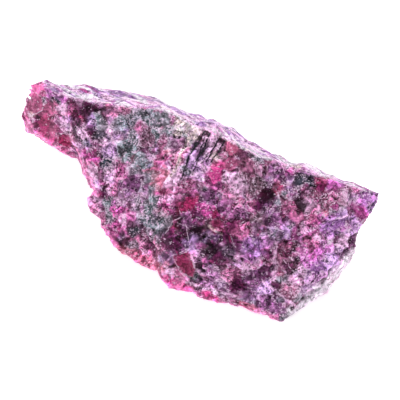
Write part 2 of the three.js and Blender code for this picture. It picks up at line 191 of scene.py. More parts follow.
# Where the mixes lie: mm right, mm up, how far each one reaches, and which mix or mineral it is
patches = (
    # the nose
    (-38.0, 26.8, 1.8, "pink"), (-39.2, 22.8, 2.8, "clearRose"), (-34.5, 26.0, 1.8, "orchidPink"),
    (-33.0, 24.0, 2.2, "soot"), (-30.8, 21.2, 1.8, "rose"), (-36.4, 17.6, 2.4, "clearRose"),
    (-41.1, 18.1, 1.8, "pink"), (-31.7, 14.1, 2.0, "crimson"), (-35.2, 13.9, 2.4, "blossom"),
    (-31.2, 17.9, 2.0, "soft"), (-35.5, 21.0, 2.0, "clearRose"), (-33.6, 16.0, 1.6, "rosy"),
    # the dark patch under the ridge, and the pale and green grains right of it
    (-28.2, 21.2, 2.6, "dark"), (-24.0, 22.0, 2.6, "dark"), (-22.0, 20.8, 2.0, "dark"),
    (-28.8, 17.5, 1.8, "soot"), (-27.3, 16.3, 2.2, "soft"), (-24.0, 19.0, 1.6, "greyGreen"),
    (-25.6, 16.5, 1.7, "dark"), (-23.3, 15.3, 2.0, "soot"), (-26.3, 13.2, 1.7, "slate"),
    (-25.4, 10.6, 2.6, "bright"), (-21.2, 18.0, 2.2, "candy"), (-17.5, 21.2, 2.4, "rose"),
    (-22.3, 8.9, 2.0, "darkGreen"), (-20.5, 12.5, 2.0, "soft"),
    # the grey-green part
    (-17.2, 18.5, 2.6, "slate"), (-16.5, 12.0, 3.0, "green"), (-10.1, 17.6, 3.6, "green"),
    (-9.6, 14.3, 2.8, "green"), (-14.1, 16.0, 2.0, "mauve"), (-8.5, 17.2, 1.2, "brownRose"),
    (-18.6, 11.3, 1.1, "ink"), (-11.5, 11.0, 2.0, "mauve"), (-11.5, 5.5, 2.2, "green"),
    (-17.9, 6.6, 1.8, "candy"), (-14.3, 3.8, 2.2, "violet"), (-21.9, 6.0, 1.6, "soft"),
    (-19.5, 2.5, 2.2, "mauve"), (-22.5, 2.0, 1.6, "dark"), (-13.4, 0.0, 2.6, "green"),
    (-12.5, -2.5, 2.4, "green"), (-10.6, -4.7, 2.6, "heather"), (-15.5, -7.3, 2.0, "soot"),
    (-7.0, -5.6, 1.6, "rosy"), (-10.5, 3.0, 1.6, "slate"), (-13.2, 8.6, 1.6, "slate"),
    (-19.8, 16.8, 1.3, "violet"), (-18.8, -4.5, 2.8, "bright"), (-17.5, -1.0, 2.0, "mauve"),
    (-21.5, -2.0, 1.6, "heather"), (-24.4, 2.0, 1.8, "soft"), (-7.3, 9.9, 2.6, "rosy"),
    (-7.5, 6.5, 2.2, "soft"),
    # the cream part and the ground of the needles
    (-3.3, 16.5, 2.8, "creamy"), (-5.2, 11.5, 2.2, "creamRose"), (-7.0, 5.5, 1.4, "creamy"),
    (-0.5, 10.5, 2.6, "needleGround"), (3.0, 13.8, 2.0, "soft"), (0.2, 6.0, 2.2, "soft"),
    # the red and pink middle
    (7.3, 12.2, 2.6, "clearRose"), (6.8, 8.2, 1.8, "bordeaux"), (3.5, 9.6, 1.5, "creamRose"),
    (3.5, 5.9, 2.0, "bright"), (8.0, 3.0, 2.6, "soft"), (2.6, 1.6, 1.6, "violet"),
    (-5.9, 1.6, 2.4, "candy"), (-8.7, 2.4, 1.8, "rosy"), (-2.4, -0.7, 2.6, "wine"),
    (-8.5, -0.5, 1.6, "rosy"), (7.8, -0.8, 2.2, "rosy"), (3.5, -4.7, 2.8, "wine"),
    (7.5, -6.4, 2.4, "wine"), (0.0, -4.0, 1.8, "bordeaux"),
    # the grey fibres and the dark grains right of them
    (11.8, 7.5, 2.6, "brownRose"), (12.0, 3.5, 2.6, "darkFibres"), (16.9, 6.3, 2.2, "dusk"),
    (18.3, 3.8, 1.4, "wine"), (15.7, 1.4, 2.2, "dark"), (14.1, -1.0, 1.3, "plum"),
    (18.8, 0.0, 1.8, "heather"), (21.2, 6.8, 1.5, "bright"), (24.2, 4.2, 2.4, "moss"),
    (26.0, 6.0, 1.6, "violet"), (28.0, 2.8, 1.6, "bordeaux"), (31.3, 3.5, 1.6, "orchidPink"),
    (29.1, -0.2, 2.4, "brownRose"), (23.3, -0.9, 2.0, "ink"), (27.0, -3.2, 2.0, "rosy"),
    (13.2, -4.7, 2.8, "darkFibres"), (18.0, -4.0, 2.0, "violet"), (22.1, -7.0, 2.4, "dusty"),
    (24.2, -6.6, 1.5, "soft"), (17.5, -8.0, 2.2, "dusty"), (34.6, -0.6, 2.4, "ash"),
    (39.0, 0.7, 2.4, "violets"), (36.5, 3.0, 1.5, "dusty"), (37.3, -2.0, 1.6, "magenta"),
    (32.0, -0.4, 1.4, "magenta"), (21.0, 3.0, 1.4, "mauve"),
    # the facet at the right end
    (31.3, -6.1, 2.8, "violets"), (36.2, -6.6, 2.4, "orchid"), (34.0, -10.5, 2.2, "dusk"),
    (29.5, -9.0, 2.0, "soft"), (27.2, -12.4, 2.0, "orchidPink"), (24.4, -12.0, 1.6, "violet"),
    (31.0, -14.0, 2.2, "lilac"), (27.3, -16.0, 2.2, "violets"), (23.0, -19.3, 1.5, "soft"),
    (26.0, -20.0, 2.0, "lilacs"), (21.4, -21.9, 2.2, "brownRose"), (33.0, -8.5, 1.6, "pale"),
    # the dark lower part
    (-0.7, -7.5, 2.8, "ink"), (3.0, -8.6, 2.0, "orchid"), (7.3, -8.9, 2.2, "dark"),
    (6.3, -12.0, 2.2, "dusk"), (-5.6, -7.3, 2.6, "dark"), (-4.7, -10.8, 2.0, "dark"),
    (-0.9, -11.0, 1.8, "orchid"), (2.4, -11.0, 2.2, "ink"), (5.2, -14.6, 2.6, "garnet"),
    (5.6, -17.0, 2.6, "soft"), (12.0, -11.5, 2.6, "violets"), (10.5, -8.5, 1.8, "violet"),
    (11.0, -16.2, 1.4, "soft"), (14.6, -16.6, 2.4, "dusk"), (9.0, -19.5, 2.4, "dark"),
    (19.7, -14.0, 2.6, "brindle"), (20.5, -11.0, 1.8, "brownRose"), (15.2, -20.0, 1.5, "lilac"),
    (18.3, -20.4, 1.4, "soot"), (16.5, -24.0, 2.8, "violet"), (12.0, -22.5, 2.2, "dusty"),
    (1.5, -15.5, 2.0, "dusk"), (2.0, -19.0, 1.8, "mauve"), (-9.9, -10.8, 2.4, "brownRose"),
    (-14.1, -10.3, 2.4, "candy"), (-8.2, -14.4, 1.8, "dusty"), (-5.4, -19.0, 2.2, "blossom"),
    (-12.0, -13.5, 2.2, "rosy"), (9.3, -6.3, 1.3, "rose"),
)

# Single crystals: mm right and up, half across, half along, turn in degrees, how strong, and the mineral
crystals = (
    (3.5, 5.9, 1.5, 2.1, 10, 0.6, "hotPink"),
    (7.3, 12.3, 1.7, 1.8, 30, 0.3, "salmon"),
    (-36.6, 17.8, 1.5, 2.2, -25, 0.6, "crimson"),
    (-38.7, 22.4, 1.9, 2.6, -5, 0.75, "clearRose"),
    (-38.3, 26.2, 1.9, 1.1, 15, 0.5, "hotPink"),
    (-34.6, 16.0, 1.6, 1.6, 20, 0.5, "clearRose"),
    (-32.2, 21.5, 0.8, 1.5, -8, 0.85, "pale"),
    (-36.5, 23.4, 0.6, 0.9, 20, 0.9, "darkGreen"),
    (-33.2, 24.0, 0.9, 0.7, 10, 0.6, "darkGreen"),
    (-38.2, 19.6, 0.6, 0.6, 0, 0.95, "ink"),
    (-39.4, 20.0, 0.8, 0.6, 0, 0.5, "cream"),
    (8.2, 3.2, 1.9, 1.7, 20, 0.65, "pale"),
    (-4.9, -19.2, 2.0, 1.2, 20, 0.5, "pink"),
    (-22.6, 1.6, 1.2, 1.3, 10, 0.7, "plum"),
    (-11.6, 5.4, 1.6, 1.5, 30, 0.5, "greyGreen"),
    (-25.7, 16.4, 1.0, 1.4, 10, 0.8, "plum"),
    (-28.0, 22.2, 2.4, 1.0, 8, 0.5, "plum"),
    (16.5, 1.5, 1.0, 1.4, 25, 0.7, "ink"),
    (15.7, -0.1, 1.4, 0.9, -20, 0.6, "ink"),
    (13.9, -1.2, 1.2, 0.9, -10, 0.8, "plum"),
    (23.4, -1.0, 1.5, 1.6, 40, 0.9, "ink"),
    (28.0, 2.8, 1.2, 1.2, 0, 0.7, "plum"),
    (13.2, -4.7, 1.6, 2.2, 10, 0.5, "greyBrown"),
    (31.2, 3.4, 1.0, 1.4, 20, 0.5, "magenta"),
    (-15.5, -7.3, 1.9, 1.3, 10, 0.8, "ink"),
    (-15.4, -7.3, 1.7, 1.2, 10, 0.6, "darkGreen"),
    (-18.5, 11.4, 0.6, 1.5, 20, 0.8, "ink"),
    (-17.8, 6.8, 1.0, 1.7, 10, 0.5, "magenta"),
    (-31.6, 13.9, 1.6, 1.8, 30, 0.8, "crimson"),
    (-17.5, 20.8, 1.9, 0.8, 0, 0.6, "rose"),
    (-11.6, 10.2, 1.0, 1.3, 25, 0.5, "pale"),
    (2.6, 1.7, 1.3, 1.4, 0, 0.4, "plum"),
    (-0.6, -7.2, 1.5, 1.3, 20, 0.6, "ink"),
    (21.2, 6.9, 0.9, 1.1, 10, 0.6, "magenta"),
    (11.0, -16.2, 1.0, 1.7, 12, 0.6, "pale"),
    (24.2, -6.8, 0.9, 1.3, -15, 0.5, "pale"),
    (27.4, -15.6, 1.9, 1.5, 25, 0.7, "amethyst"),
    (31.9, -9.1, 0.6, 1.2, -42, 0.9, "plum"),
    (31.0, -6.0, 3.4, 1.1, 24, 0.8, "amethyst"),
    (7.0, 8.3, 1.9, 1.6, 15, 0.7, "clearRose"),
    (-2.0, -0.6, 1.9, 1.4, 35, 0.6, "crimson"),
    (0.2, -10.8, 0.9, 1.1, 45, 0.6, "magenta"),
    (-24.0, 1.8, 0.9, 1.2, 10, 0.4, "hotPink"),
    (6.5, -12.1, 2.0, 1.0, -8, 0.45, "darkGreen"),
    (20.4, -16.2, 1.1, 1.5, 10, 0.7, "plum"),
    (8.6, -19.2, 1.1, 2.2, 15, 0.7, "plum"),
    (14.9, -16.9, 1.5, 1.8, 10, 0.5, "plum"),
    (15.9, -12.7, 0.8, 1.4, 5, 0.6, "plum"),
    (5.3, -14.2, 3.4, 0.8, -8, 0.65, "plum"),
    (21.5, -21.8, 1.4, 1.6, 40, 0.5, "brownRose"),
    (1.5, 15.6, 0.5, 0.9, -31, 0.95, "ink"),
    (4.9, 13.9, 0.65, 0.75, -31, 0.95, "ink"),
    (4.2, 11.4, 0.45, 0.6, -41, 0.9, "ink"),
    (0.5, 11.0, 0.6, 0.9, -20, 0.8, "ink"),
    (29.0, -7.9, 1.5, 0.9, 25, 0.7, "violet"),
    (33.3, -6.8, 1.0, 0.8, 20, 0.75, "orchidPink"),
    (30.2, -9.7, 0.6, 0.9, -20, 0.8, "greyWhite"),
    (26.4, -13.2, 1.1, 0.9, 15, 0.6, "magenta"),
    (0.0, -3.2, 2.1, 0.5, 8, 0.75, "plum"),
    (1.4, -11.0, 1.6, 1.1, 10, 0.6, "ink"),
    (-4.9, -10.6, 1.0, 0.8, 0, 0.5, "ink"),
    (-10.8, -5.3, 1.9, 1.3, 20, 0.45, "darkGreen"),
    (-10.2, 3.0, 1.2, 1.0, 0, 0.5, "greyGreen"),
    (-9.6, 14.2, 1.6, 1.4, 30, 0.35, "darkGreen"),
)
redCrystal = {
    "corners": ((-2.6, -11.8), (-6.3, -13.1), (-5.6, -15.0), (-4.2, -17.0), (-1.6, -18.2), (-0.9, -16.6)),
    "lean": (0.2, 0.1),  # which way its face is tilted
    "strength": 0.8,
    "mineral": "crimson",
}

# Bands of one mineral: mm that each one reaches to each side, how strong it is, how much it smooths the rock,
# and its course in mm right and up
bands = (
    # the lower edge: painted glow, where light shines through
    ("pink", 1.3, 0.6, 0, (
        (-40.0, 26.3), (-41.4, 23.5), (-42.0, 17.9), (-38.8, 15.7), (-35.3, 12.2), (-31.3, 11.5),
        (-28.9, 8.9), (-27.3, 7.1), (-25.4, 2.6), (-26.6, 0.0), (-23.3, -4.2), (-22.6, -7.3),
        (-20.9, -8.2), (-19.3, -11.8), (-14.6, -15.0), (-11.0, -16.0), (-6.6, -20.7), (-2.4, -21.6),
        (0.9, -23.3), (6.1, -23.7), (11.8, -25.6), (17.0, -27.5),
    )),
    ("salmon", 1.8, 0.75, 0, ((-18.5, -11.5), (-14.0, -13.8), (-9.0, -16.0))),
    ("hotPink", 1.6, 0.8, 0, ((-8.0, -18.5), (-5.0, -20.0), (-2.5, -21.0))),
    ("hotPink", 1.4, 1.0, 0, ((1.0, -22.1), (3.5, -23.1))),
    ("salmon", 0.9, 0.8, 0, ((9.5, -24.0), (12.0, -25.2))),
    # the bevel at the right end
    ("greyWhite", 2.0, 0.9, 0.7, ((35.9, -13.0), (33.6, -16.0), (29.4, -20.6), (21.8, -27.0))),
    # pale and cream seams
    ("pale", 0.6, 0.75, 0, ((17.6, -10.1), (17.4, -14.6), (17.3, -18.8))),
    ("pale", 0.5, 0.6, 0, ((14.4, -18.8), (18.6, -21.9), (22.3, -24.9))),
    ("cream", 0.5, 0.9, 0, ((-2.1, 15.5), (-5.6, 8.0), (-7.1, 5.6))),
    ("pale", 0.5, 0.65, 0, ((-8.7, -15.5), (-5.5, -18.0), (-2.4, -19.6), (3.0, -21.0), (9.0, -22.8))),
    ("pale", 0.4, 0.8, 0, ((24.5, -7.6), (27.7, -6.3), (30.0, -5.2), (34.5, -3.6))),
    ("cream", 0.5, 0.4, 0, ((2.3, -6.2), (4.9, -8.0))),
)

# The ridge between the broad face and the pale roof, mm right and up
ridge = (
    (-42.0, 31.0), (-36.4, 27.3), (-34.3, 25.1), (-29.4, 23.5), (-24.7, 22.8), (-16.7, 22.0), (-10.8, 21.6),
    (-6.8, 20.1), (-4.5, 18.7), (-0.7, 17.0), (2.4, 16.0), (5.9, 14.1), (8.7, 12.6), (11.8, 11.0),
    (14.3, 9.7), (19.3, 8.8), (22.3, 7.6), (27.0, 6.4), (31.7, 4.4), (36.7, 2.7), (44.0, 0.8),
)

# Black needles in two bundles: top and foot in mm right and up, and half thickness
needles = (
    ((1.3, 16.2), (-1.4, 11.8), 0.19),
    ((-0.8, 13.8), (-3.2, 8.6), 0.13),
    ((-2.4, 10.2), (-4.3, 5.2), 0.12),
    ((2.3, 15.6), (1.0, 12.2), 0.18),
    ((1.9, 12.8), (-0.8, 9.4), 0.13),
    ((0.2, 11.2), (-1.7, 6.2), 0.12),
    ((0.4, 15.5), (-2.3, 10.8), 0.10),
    ((-1.3, 13.2), (-3.4, 7.8), 0.08),
    ((1.2, 14.8), (-0.2, 11.0), 0.10),
    ((0.9, 12.4), (-1.4, 8.7), 0.09),
    ((-0.6, 10.0), (-2.9, 5.4), 0.08),
    ((1.8, 11.0), (0.4, 8.4), 0.08),
    ((4.8, 14.9), (2.4, 10.8), 0.19),
    ((3.4, 12.2), (1.3, 8.6), 0.14),
    ((5.8, 14.1), (4.6, 11.4), 0.19),
    ((4.9, 12.0), (2.2, 8.6), 0.15),
    ((4.4, 14.2), (3.2, 12.2), 0.12),
    ((-3.0, 7.6), (-4.6, 4.6), 0.07),
)

# Thin pale veins, mm right and up
veins = (
    ((-5.0, -2.0), (-3.0, -6.7), (-2.7, -9.4), (-2.2, -11.4), (-1.4, -14.1), (-1.0, -16.1), (0.3, -17.4)),
    ((-6.4, -13.0), (-4.9, -16.5), (-2.6, -19.0), (-1.0, -19.8)),
    ((-6.4, -13.0), (-3.6, -11.6), (-2.2, -11.4)),
    ((15.3, -6.1), (19.5, -7.3)),
    ((-8.2, -7.5), (-6.6, -5.2), (-4.7, -4.2)),
    ((18.5, 9.5), (20.5, 4.5), (20.8, 0.5)),
    ((25.5, -1.2), (27.2, 0.6), (30.4, -3.6)),
    ((19.0, -13.5), (22.5, -17.5), (23.5, -20.0)),
    ((9.4, -13.0), (11.5, -14.2), (12.6, -17.6)),
    ((-23.0, 12.0), (-19.5, 9.5), (-20.5, 5.0)),
)

# Where the streaks all run one way and show most: mm right and up, reach, lean from upright, and strength
fibres = (
    (11.8, 5.0, 4.5, 4, 0.8),
    (13.2, -4.7, 3.5, 12, 0.7),
    (34.8, -1.0, 3.4, -4, 1.0),
    (-1.0, 11.0, 5.0, -31, 0.6),
    (28.0, -20.5, 3.5, -42, 1.0),
    (32.0, -16.5, 3.0, -38, 1.0),
    (23.5, -24.5, 3.5, -52, 1.0),
    (18.5, -15.0, 3.0, 10, 0.5),
    (3.0, -12.0, 9.0, 68, 0.6),
    (6.0, -20.5, 6.0, 65, 0.7),
    (-36.5, 16.5, 3.0, -30, 0.4),
    (-14.0, 5.0, 6.0, -20, 0.3),
)


# Small tools for meshes

def meshArrays(mesh):
    points = np.empty(len(mesh.vertices) * 3, np.float32)
    mesh.vertices.foreach_get("co", points)
    edges = np.empty(len(mesh.edges) * 2, np.int32)
    mesh.edges.foreach_get("vertices", edges)
    return points.reshape(-1, 3).astype(float) / mm, edges.reshape(-1, 2)


def setPoints(mesh, points):
    mesh.vertices.foreach_set("co", (points * mm).astype(np.float32).ravel())
    mesh.update()


def aroundMean(values, edges):
    # mean of each point's neighbours
    count = np.bincount(edges.ravel(), minlength=len(values))
    columns = []
    for column in values.reshape(len(values), -1).T:
        total = np.bincount(edges[:, 0], column[edges[:, 1]], len(values))
        total += np.bincount(edges[:, 1], column[edges[:, 0]], len(values))
        columns.append(total / count)
    return np.stack(columns, 1).reshape(values.shape)


def soften(values, edges, rounds, share=0.5):
    for _ in range(rounds):
        values = values + share * (aroundMean(values, edges) - values)
    return values


def normalsOf(mesh):
    normals = np.empty(len(mesh.vertices) * 3, np.float32)
    mesh.vertex_normals.foreach_get("vector", normals)
    return normals.reshape(-1, 3).astype(float)


def addLayer(mesh, name, values):
    # keeps one value, vector or colour a point on the mesh
    kinds = {"value": "FLOAT", "vector": "FLOAT_VECTOR", "color": "FLOAT_COLOR"}
    field = "value" if values.ndim == 1 else "vector" if values.shape[1] == 3 else "color"
    layer = mesh.attributes.new(name, kinds[field], "POINT")
    layer.data.foreach_set(field, values.astype(np.float32).ravel())


def courseDistance(places, course):
    # distance from each flat place to a bent line, and on which side of the line it is
    best = np.full(len(places), 1e9)
    side = np.ones(len(places))
    for start, end in zip(course, course[1:]):
        start, end = np.array(start), np.array(end)
        way = end - start
        share = np.clip((places - start) @ way / (way @ way), 0, 1)
        away = places - start - share[:, None] * way
        distance = np.linalg.norm(away, axis=1)
        nearer = distance < best
        best = np.where(nearer, distance, best)
        side = np.where(nearer, np.sign(away[:, 0] * way[1] - away[:, 1] * way[0]), side)
    return best, side


# Each kind of chance has a salt of its own, so that a change to one leaves the others as they are

salts = {
    "grains": (500, 600, 700),
    "roofStreaks": 900,
    "grainBends": (21, 31),
    "farClouds": 300,
    "cleavage": 40,
    "roofEdge": 77,
    "bruisedHighlightBand": 78,
    "fibreEdge": 91,
    "crumbEdge": 94,
    "crumbClouds": 95,
    "rim": 68,
    "bandEdge": 61,
    "bandFlicker": (66, 67),
    "needleEdge": (64, 65),
    "crystalEdge": (62, 63),
    "sides": 71,
}
traitSalts = {"mineral": 8, "whole": 9, "tone": 10, "frostAndGlint": 11, "dust": 12, "streakMineral": 5}


def grainChance(level, trait):
    # one number from 0 to 1 for each grain
    return cellRandom(level["cell"], level["salt"] + traitSalts[trait])


def sideNumbers(number, salt, count):
    # so many numbers from -0.5 to 0.5 for one crystal or needle
    return cellRandom(np.array([[number, each, salt] for each in range(count)]), salts["sides"]) - 0.5


# The body of the stone: a fine even mesh over the solid

rock = {
    "node": "stone",
    "slot": "rock",
    "meshStep": 0.345,  # mm between points
    "firstSoftening": 3,  # rounds that take the flat triangles out of the solid
    "broadSoftening": 12,  # rounds that leave only the large sides
    "mapSoftening": 40,
    "mapAngle": 70,
    "mapMargin": 0.004,
    "seen": (-0.35, 0.0),  # how far a side turns away before it no longer counts as seen
    "rayStart": 200,  # mm in front of the stone
    "missedDepth": 15,  # mm in front of it, for a spot just past the outline
}


def makeBody():
    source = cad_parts[rock["node"]]
    mesh = source.data.copy()
    body = bpy.data.objects.new("eudialyte", mesh)
    bpy.context.scene.collection.objects.link(body)
    bpy.context.view_layer.objects.active = body
    body.select_set(True)
    mesh.remesh_voxel_size = rock["meshStep"] * mm
    mesh.remesh_voxel_adaptivity = 0
    bpy.ops.object.voxel_remesh()
    return body


def mapBody(body, points, edges):
    # large, even map islands, cut on a smoothed copy of the shape
    setPoints(body.data, soften(points, edges, rock["mapSoftening"]))
    body.data.uv_layers.new(name="OFBake")
    angle = math.radians(rock["mapAngle"])
    bpy.ops.object.mode_set(mode="EDIT")
    bpy.ops.mesh.select_all(action="SELECT")
    bpy.ops.uv.smart_project(angle_limit=angle, island_margin=rock["mapMargin"], scale_to_bounds=False)
    bpy.ops.object.mode_set(mode="OBJECT")
    setPoints(body.data, points)


def spotFinder(points, mesh):
    # gives the place on the stone under a spot seen from the look side
    polygons = [tuple(face.vertices) for face in mesh.polygons]
    tree = BVHTree.FromPolygons([tuple(point) for point in points], polygons)

    def spotAt(right, up):
        over = right * lookRight + up * lookUp
        place = tree.ray_cast(Vector(over + rock["rayStart"] * lookBack), Vector(-lookBack))[0]
        if place is None:
            place = tree.find_nearest(Vector(over + rock["missedDepth"] * lookBack))[0]
        return np.array(place)

    return spotAt


print("body of the stone")
stone = makeBody()
mesh = stone.data
points, edges = meshArrays(mesh)
print("  faces", len(mesh.polygons), "points", len(points))
points = soften(points, edges, rock["firstSoftening"])
print("map")
mapBody(stone, points, edges)
spotAt = spotFinder(points, mesh)
normals = normalsOf(mesh)
broadNormals = unit(soften(normals, edges, rock["broadSoftening"]))
towards = broadNormals @ lookBack  # 1 where a side looks back along the view, 0 at the outline
seen = smoothStep(*rock["seen"], towards)
flat = np.stack([points @ lookRight, points @ lookUp], 1)  # each point as seen from the look side


# The roof is the pale side behind the ridge, made of long streaks

roofLook = {
    "leansBack": (0.25, 0.5),  # where the sides that aren't seen turn into roof
    "leansUp": (-0.15, 0.1),
    "ridgeReach": 0.35,  # mm to each side of the ridge
    "edgeSize": 1.2,
    "edgeRagged": 0.3,
    "bandReach": (1.9, 0.5),  # mm behind the ridge where the pale band, bruised and partly a painted highlight, ends
    "bandSize": 1.5,
    "bandRagged": 0.7,
    "streakSize": 0.8,
    "streakStretch": 6,
    "relief": (0.12, 0.08, 0.1),  # step, tilt and ledge of the streaks
    "grainsLost": 0.7,  # how much of the relief of the grains is gone there
    "color": 0.76,  # what is left of each trait of the minerals there
    "tone": 0.6,
    "dust": 0.7,
    "frostAndGlint": 0.8,
    "rightDark": 0.15,  # how much darker the right end is, and where that starts and is full
    "rightReach": (14, 22),
    # pale bruising and a painted highlight along the ridge
    "ridgePaleAndHighlight": 0.3,
    "ridgePaleAndHighlightIn": (0.0, 0.35),
    "ridgePaleAndHighlightOut": (1.0, 0.5),
}

ridgeDistance, ridgeSide = courseDistance(flat, ridge)
behindRidge = -ridgeDistance * ridgeSide
hiddenRoof = smoothStep(*roofLook["leansBack"], broadNormals[:, 1])
hiddenRoof *= smoothStep(*roofLook["leansUp"], broadNormals[:, 2])
ridgeReach = roofLook["ridgeReach"]
roofMask = hiddenRoof + seen * (smoothStep(-ridgeReach, ridgeReach, behindRidge) - hiddenRoof)
roofEdge = roofLook["edgeRagged"] * cloud(points, roofLook["edgeSize"], salts["roofEdge"])
onRoof = roofMask + roofEdge > 0.5
# a pale band just behind the ridge: bruised rock, partly a painted highlight
bandEdge = roofLook["bandRagged"] * cloud(points, roofLook["bandSize"], salts["bruisedHighlightBand"])
bruisedHighlightBand = smoothStep(*roofLook["bandReach"], behindRidge + bandEdge)


# The grains: three sizes inside each other, each grain of one mineral

grainLook = {
    "sizes": (3.3, 1.6, 0.85),
    "steps": (0.22, 0.14, 0.07),
    "tilts": (0.20, 0.28, 0.32),
    "ledges": (0.12, 0.08, 0.06),
    "outlineCalm": (0.65, 0.4),  # how much lower the relief is along the outline, and how far in
    "bends": ((1.6, 0.35), (0.7, 0.1)),  # size and reach of the bends of their borders
    "patchFall": 1.6,  # how fast a patch gives way to the next
    "common": 0.04,
    "farFrom": (0.3, 0.0),  # how weak the patches are where the far mixes begin
    "farShare": 0.1,
    "farSize": 9,
    "whole": (0.42, 0.55),  # how many of the large and middle grains are whole
    "wholeShare": 0.88,
    "brokenShare": 0.2,
    "meanShare": 0.2,  # how far each grain takes the mean colour of the minerals around it
    "softening": 1,
    "tones": (0.14, 0.34, 0.3),
    "frostAndGlintTone": 0.9,
    "dustLeast": 0.3,
    "dustSpread": 1.4,
    "cleaveSizes": (2.4, 0.35, 0.35),  # mm along and across the streaks of a grain
    "fibreSize": 1.5,
    "fibreRagged": 0.2,
    "crumbs": 0.5,  # pale crumbs between the large grains
    "crumbReach": (0.55, 0.1),
    "crumbSize": 0.6,
    "crumbRagged": 0.25,
    "crumbCloudSize": 2.2,
    "crumbClouds": (-0.3, 0.5),
}
traits = ("frostAndGlint", "rough", "dust", "fine")
tables = {trait: np.array([minerals[name][trait] for name in mineralNames]) for trait in traits}
tables["color"] = np.array([toLinear(minerals[name]["color"]) for name in mineralNames])


def bendsOf(points, axis):
    bends = zip(grainLook["bends"], salts["grainBends"])
    return sum(reach * cloud(points, size, salt + axis) for (size, reach), salt in bends)


def partsOf(mix):
    # the share of each mineral in a mix
    parts = np.array([mixes[mix].get(name, 0) for name in mineralNames], float)
    return parts / parts.sum()


def pick(parts, chance):
    return (np.cumsum(parts, 1) < chance[:, None]).sum(1).clip(0, len(mineralNames) - 1)


print("grains")
warped = points + np.stack([bendsOf(points, axis) for axis in range(3)], 1)
grainLevels = [grainsAt(warped, size, salt) for size, salt in zip(grainLook["sizes"], salts["grains"])]
roofStreaks = grainsAt(warped * (1 / roofLook["streakStretch"], 1, 1), roofLook["streakSize"],
                       salts["roofStreaks"])
patchPlaces = np.array([spotAt(right, up) for right, up, reach, mix in patches])
patchReach = np.array([reach for right, up, reach, mix in patches])
patchParts = np.stack([partsOf(mix) for right, up, reach, mix in patches])


def partsAt(places):
    # the share of each mineral there, from the mixes around
    away = (places**2).sum(1)[:, None] + (patchPlaces**2).sum(1) - 2 * places @ patchPlaces.T
    weights = np.exp(-grainLook["patchFall"] * away / patchReach**2)
    unplaced = smoothStep(*grainLook["farFrom"], weights.max(1))
    parts = weights @ patchParts + grainLook["common"] * partsOf("common")
    for number, mix in enumerate(farMixes):
        clouds = np.clip(cloud(places, grainLook["farSize"], salts["farClouds"] + number), 0, 1)
        parts += (grainLook["farShare"] * unplaced * clouds)[:, None] * partsOf(mix)
    return parts / parts.sum(1, keepdims=True)


picked = [pick(partsAt(level["seed"]), grainChance(level, "mineral")) for level in grainLevels]
# the band behind the ridge takes the bruised mix, partly a painted highlight
roofParts = partsOf("roof") + bruisedHighlightBand[:, None] * (partsOf("bruisedAndHighlit") - partsOf("roof"))
roofPicked = pick(roofParts, grainChance(roofStreaks, "streakMineral"))
around = partsAt(points)

# a large or middle grain is mostly whole, or else it gives way to the smaller ones inside it
wholeLarge, wholeMiddle = (
    np.where(grainChance(level, "whole") < share, grainLook["wholeShare"], grainLook["brokenShare"])
    for level, share in zip(grainLevels, grainLook["whole"])
)
shares = (wholeLarge, (1 - wholeLarge) * wholeMiddle, (1 - wholeLarge) * (1 - wholeMiddle))


def blended(table):
    # each size of grain by its share, a little of the mean of the minerals around, and the roof's streaks
    total = sum((share * table[mineral].T).T for share, mineral in zip(shares, picked))
    total += grainLook["meanShare"] * (around @ table - total)
    chosen = onRoof if table.ndim == 1 else onRoof[:, None]
    return soften(np.where(chosen, table[roofPicked], total), edges, grainLook["softening"])


look = {trait: blended(table) for trait, table in tables.items()}

# no two grains of a mineral are quite alike
tone = np.zeros(len(points))
for level, strength in zip(grainLevels, grainLook["tones"]):
    tone += strength * (2 * grainChance(level, "tone") - 1)
    look["frostAndGlint"] += grainLook["frostAndGlintTone"] * strength * (2 * grainChance(level, "frostAndGlint") - 1)
for level in grainLevels[:2]:
    look["dust"] *= grainLook["dustLeast"] + grainLook["dustSpread"] * grainChance(level, "dust")
tone *= np.where(onRoof, roofLook["tone"], 1)
look["dust"] *= np.where(onRoof, roofLook["dust"], 1)
look["color"] *= np.exp(tone)[:, None]
roofColor = roofLook["color"] * (1 - roofLook["rightDark"] * smoothStep(*roofLook["rightReach"], flat[:, 0]))
look["color"] *= np.where(onRoof, roofColor, 1)[:, None]
look["frostAndGlint"] *= np.where(onRoof, roofLook["frostAndGlint"], 1)

# every middle-size grain has its own cleavage direction, and its streaks run along it
turns = [cellRandom(grainLevels[1]["cell"], salts["cleavage"] + n) - 0.5 for n in range(6)]
along = unit(np.stack(turns[:3], 1))
streaky = np.zeros(len(points))  # how much the streaks show over the specks
fibreEdge = 1 + grainLook["fibreRagged"] * cloud(points, grainLook["fibreSize"], salts["fibreEdge"])
for right, up, reach, lean, strength in fibres:
    away = np.linalg.norm(points - spotAt(right, up), axis=1) - reach * fibreEdge
    way = math.sin(math.radians(-lean)) * lookRight + math.cos(math.radians(lean)) * lookUp
    along = np.where((away < 0)[:, None], way, along)
    streaky = np.where(away < 0, strength * smoothStep(0, -1, away), streaky)
across = unit(np.cross(along, np.stack(turns[3:], 1)))
cleave = np.stack([(points * way).sum(1) for way in (along, across, np.cross(along, across))], 1)
cleave /= grainLook["cleaveSizes"]

# pale crumbs lie in the gaps between large grains, in clouds
crumbEdge = grainLook["crumbRagged"] * cloud(points, grainLook["crumbSize"], salts["crumbEdge"])
nearGap = smoothStep(*grainLook["crumbReach"], grainLevels[0]["gap"] + crumbEdge)
crumbClouds = cloud(points, grainLook["crumbCloudSize"], salts["crumbClouds"])
look["frostAndGlint"] += grainLook["crumbs"] * nearGap * smoothStep(*grainLook["crumbClouds"], crumbClouds) * ~onRoof

